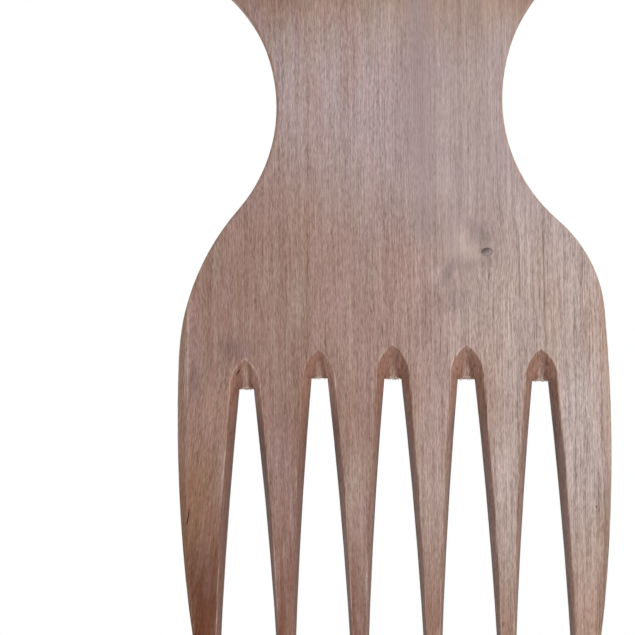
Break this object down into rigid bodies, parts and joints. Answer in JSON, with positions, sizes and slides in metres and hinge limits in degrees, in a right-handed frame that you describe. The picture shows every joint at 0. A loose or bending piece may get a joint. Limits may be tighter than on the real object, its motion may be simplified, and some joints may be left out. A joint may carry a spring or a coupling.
{
  "type": "afro pick",
  "caption": "Flat wooden hair pick with a flared handle, a narrow waist for the hand and long tapered teeth bevelled on both faces.",
  "frame": {"origin": "middle of the waist, where a hand grips the pick, at half the board's thickness", "axes": "+Z along the pick towards the crown of the handle, teeth point to -Z; +X to the right; the front face looks along -Y"},
  "size_m": [0.101, 0.01, 0.1965],
  "materials": {
    "pick_wood": "bare fine-sanded hardwood, straight grain, low sheen",
    "knot_wood": "dark dead knot, matt"
  },
  "bodies": {
    "root": {"pick_blank": "pick_wood", "pin_knot": "knot_wood"}
  },
  "joints": []
}
